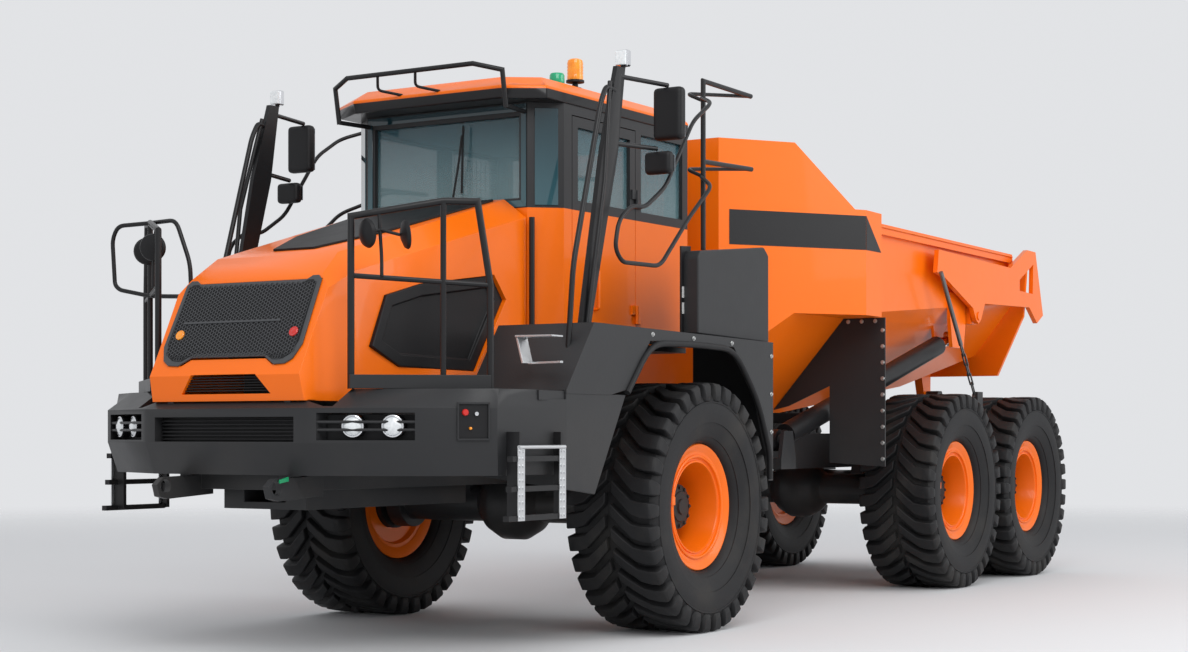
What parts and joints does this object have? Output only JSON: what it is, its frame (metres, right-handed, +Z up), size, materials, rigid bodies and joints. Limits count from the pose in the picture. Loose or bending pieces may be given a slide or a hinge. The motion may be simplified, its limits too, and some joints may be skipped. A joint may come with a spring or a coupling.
{
  "type": "articulated dump truck",
  "caption": "Six-wheeled articulated dump truck with an orange hood, cab and tipping body and dark bumper, fenders and rails.",
  "frame": {"origin": "on the ground under the middle of the bounding box", "axes": "+X forward, +Y to the truck's left, +Z up"},
  "size_m": [9.773, 3.08, 3.61],
  "materials": {
    "dark_paint": "satin",
    "orange_paint": "satin",
    "rail_paint": "satin",
    "tyre_rubber": "matte",
    "black_plastic": "matte",
    "cab_glass": "gloss",
    "lamp_lens": "gloss",
    "amber_lens": "gloss",
    "seat_cloth": "matte",
    "engine_iron": "matte",
    "chain_steel": "satin",
    "rod_chrome": "gloss"
  },
  "bodies": {
    "front_unit": {"front_frame": "dark_paint", "front_axle": "dark_paint", "bumper": "dark_paint", "bumper_grille": "black_plastic", "headlamps": "lamp_lens", "kick_plates": "dark_paint", "front_handrails": "rail_paint", "ladders": "rail_paint", "engine_block": "engine_iron", "cab_deck": "dark_paint", "cab_lower": "orange_paint", "cab_frame": "dark_paint", "cab_glass": "cab_glass", "cab_roof": "orange_paint", "operator_seat": "seat_cloth", "steering_column": "black_plastic", "beacon": "amber_lens", "fenders": "dark_paint", "side_boxes": "dark_paint", "mirror_posts": "rail_paint", "mirrors": "black_plastic", "work_lamps": "lamp_lens", "roof_guard": "rail_paint"},
    "hood_unit": {"hood": "orange_paint", "hood_grille": "black_plastic", "hood_recesses": "black_plastic", "hood_top_panel": "black_plastic"},
    "door": {"door_panel": "orange_paint", "door_frame": "dark_paint", "door_glass": "cab_glass"},
    "roll_ring": {"hitch_ring": "dark_paint"},
    "rear_unit": {"rear_frame": "dark_paint", "rear_axles": "dark_paint", "bogie_beams": "dark_paint"},
    "bed": {"dump_body": "orange_paint", "mudguards": "dark_paint"},
    "tailgate_unit": {"tailgate": "orange_paint"},
    "left_chain": {"chain_left": "chain_steel"},
    "right_chain": {"chain_right": "chain_steel"},
    "left_hoist_barrel": {"hoist_barrel_left": "rail_paint"},
    "right_hoist_barrel": {"hoist_barrel_right": "rail_paint"},
    "left_hoist_rod": {"hoist_rod_left": "rod_chrome"},
    "right_hoist_rod": {"hoist_rod_right": "rod_chrome"},
    "left_steering_barrel": {"steering_barrel_left": "rail_paint"},
    "right_steering_barrel": {"steering_barrel_right": "rail_paint"},
    "left_steering_rod": {"steering_rod_left": "rod_chrome"},
    "right_steering_rod": {"steering_rod_right": "rod_chrome"},
    "wheel_front_left": {"rim_front_left": "orange_paint", "tyre_front_left": "tyre_rubber"},
    "wheel_front_right": {"rim_front_right": "orange_paint", "tyre_front_right": "tyre_rubber"},
    "wheel_middle_left": {"rim_middle_left": "orange_paint", "tyre_middle_left": "tyre_rubber"},
    "wheel_middle_right": {"rim_middle_right": "orange_paint", "tyre_middle_right": "tyre_rubber"},
    "wheel_rear_left": {"rim_rear_left": "orange_paint", "tyre_rear_left": "tyre_rubber"},
    "wheel_rear_right": {"rim_rear_right": "orange_paint", "tyre_rear_right": "tyre_rubber"}
  },
  "joints": [
    {"name": "spin_front_left", "type": "hinge", "parent": "front_unit", "child": "wheel_front_left", "pos_m": [1.9365, 1.18, 0.78], "axis": [0, 1, 0], "continuous": true},
    {"name": "spin_front_right", "type": "hinge", "parent": "front_unit", "child": "wheel_front_right", "pos_m": [1.9365, -1.18, 0.78], "axis": [0, 1, 0], "continuous": true},
    {"name": "spin_middle_left", "type": "hinge", "parent": "rear_unit", "child": "wheel_middle_left", "pos_m": [-2.3345, 1.18, 0.78], "axis": [0, 1, 0], "continuous": true},
    {"name": "spin_middle_right", "type": "hinge", "parent": "rear_unit", "child": "wheel_middle_right", "pos_m": [-2.3345, -1.18, 0.78], "axis": [0, 1, 0], "continuous": true},
    {"name": "spin_rear_left", "type": "hinge", "parent": "rear_unit", "child": "wheel_rear_left", "pos_m": [-3.9895, 1.18, 0.78], "axis": [0, 1, 0], "continuous": true},
    {"name": "spin_rear_right", "type": "hinge", "parent": "rear_unit", "child": "wheel_rear_right", "pos_m": [-3.9895, -1.18, 0.78], "axis": [0, 1, 0], "continuous": true},
    {"name": "roll", "type": "hinge", "parent": "front_unit", "child": "roll_ring", "pos_m": [1.2765, 0, 1.06], "axis": [1, 0, 0], "range_deg": [-20, 20]},
    {"name": "steer", "type": "hinge", "parent": "roll_ring", "child": "rear_unit", "pos_m": [0.2865, 0, 1.12], "axis": [0, 0, 1], "range_deg": [-45, 45]},
    {"name": "bed_tip", "type": "hinge", "parent": "rear_unit", "child": "bed", "pos_m": [-4.4135, 0, 1.55], "axis": [0, -1, 0], "range_deg": [0, 70]},
    {"name": "tailgate_lift", "type": "hinge", "parent": "bed", "child": "tailgate_unit", "pos_m": [-3.2675, 0, 2.237], "axis": [0, 1, 0], "range_deg": [0, 110]},
    {"name": "left_chain_swing", "type": "hinge", "parent": "rear_unit", "child": "left_chain", "pos_m": [-3.1105, 1.245, 1.548], "axis": [0, -1, 0], "range_deg": [0, 75]},
    {"name": "right_chain_swing", "type": "hinge", "parent": "rear_unit", "child": "right_chain", "pos_m": [-3.1105, -1.245, 1.548], "axis": [0, -1, 0], "range_deg": [0, 75]},
    {"name": "hood_tilt", "type": "hinge", "parent": "front_unit", "child": "hood_unit", "pos_m": [4.7365, 0, 1.4], "axis": [0, 1, 0], "range_deg": [0, 50]},
    {"name": "door_swing", "type": "hinge", "parent": "front_unit", "child": "door", "pos_m": [1.7295, 0.803, 2.4], "axis": [0, 0, 1], "range_deg": [0, 58]},
    {"name": "left_hoist_swing", "type": "hinge", "parent": "rear_unit", "child": "left_hoist_barrel", "pos_m": [-0.2635, 0.8, 1.19], "axis": [0.1538, 0.9646, 0.214], "range_deg": [0, 8]},
    {"name": "left_hoist_extend", "type": "slide", "parent": "left_hoist_barrel", "child": "left_hoist_rod", "axis": [-0.9518, 0.0865, 0.2942], "range_m": [0, 1.7]},
    {"name": "right_hoist_swing", "type": "hinge", "parent": "rear_unit", "child": "right_hoist_barrel", "pos_m": [-0.2635, -0.8, 1.19], "axis": [-0.1538, 0.9646, -0.214], "range_deg": [0, 8]},
    {"name": "right_hoist_extend", "type": "slide", "parent": "right_hoist_barrel", "child": "right_hoist_rod", "axis": [-0.9518, -0.0865, 0.2942], "range_m": [0, 1.7]},
    {"name": "left_steering_swing", "type": "hinge", "parent": "roll_ring", "child": "left_steering_barrel", "pos_m": [0.9865, 0.35, 0.88], "axis": [0, 0, 1], "range_deg": [-25, 25]},
    {"name": "left_steering_extend", "type": "slide", "parent": "left_steering_barrel", "child": "left_steering_rod", "axis": [-0.9984, 0.0571, 0], "range_m": [-0.31, 0.31]},
    {"name": "right_steering_swing", "type": "hinge", "parent": "roll_ring", "child": "right_steering_barrel", "pos_m": [0.9865, -0.35, 0.88], "axis": [0, 0, 1], "range_deg": [-25, 25]},
    {"name": "right_steering_extend", "type": "slide", "parent": "right_steering_barrel", "child": "right_steering_rod", "axis": [-0.9984, -0.0571, 0], "range_m": [-0.31, 0.31]}
  ],
  "couplings": [
    {"joint": "tailgate_lift", "follows": "bed_tip", "ratio": 1.4583},
    {"joint": "left_chain_swing", "follows": "bed_tip", "ratio": 0.9513},
    {"joint": "right_chain_swing", "follows": "bed_tip", "ratio": 0.9513},
    {"joint": "left_hoist_swing", "follows": "bed_tip", "ratio": 0.10116},
    {"joint": "right_hoist_swing", "follows": "bed_tip", "ratio": 0.10116},
    {"joint": "left_hoist_extend", "follows": "bed_tip", "m_per_rad": 1.3438},
    {"joint": "right_hoist_extend", "follows": "bed_tip", "m_per_rad": 1.3438},
    {"joint": "left_steering_swing", "follows": "steer", "ratio": 0.5177},
    {"joint": "right_steering_swing", "follows": "steer", "ratio": 0.5177},
    {"joint": "left_steering_extend", "follows": "steer", "m_per_rad": 0.3794},
    {"joint": "right_steering_extend", "follows": "steer", "m_per_rad": -0.3794}
  ]
}
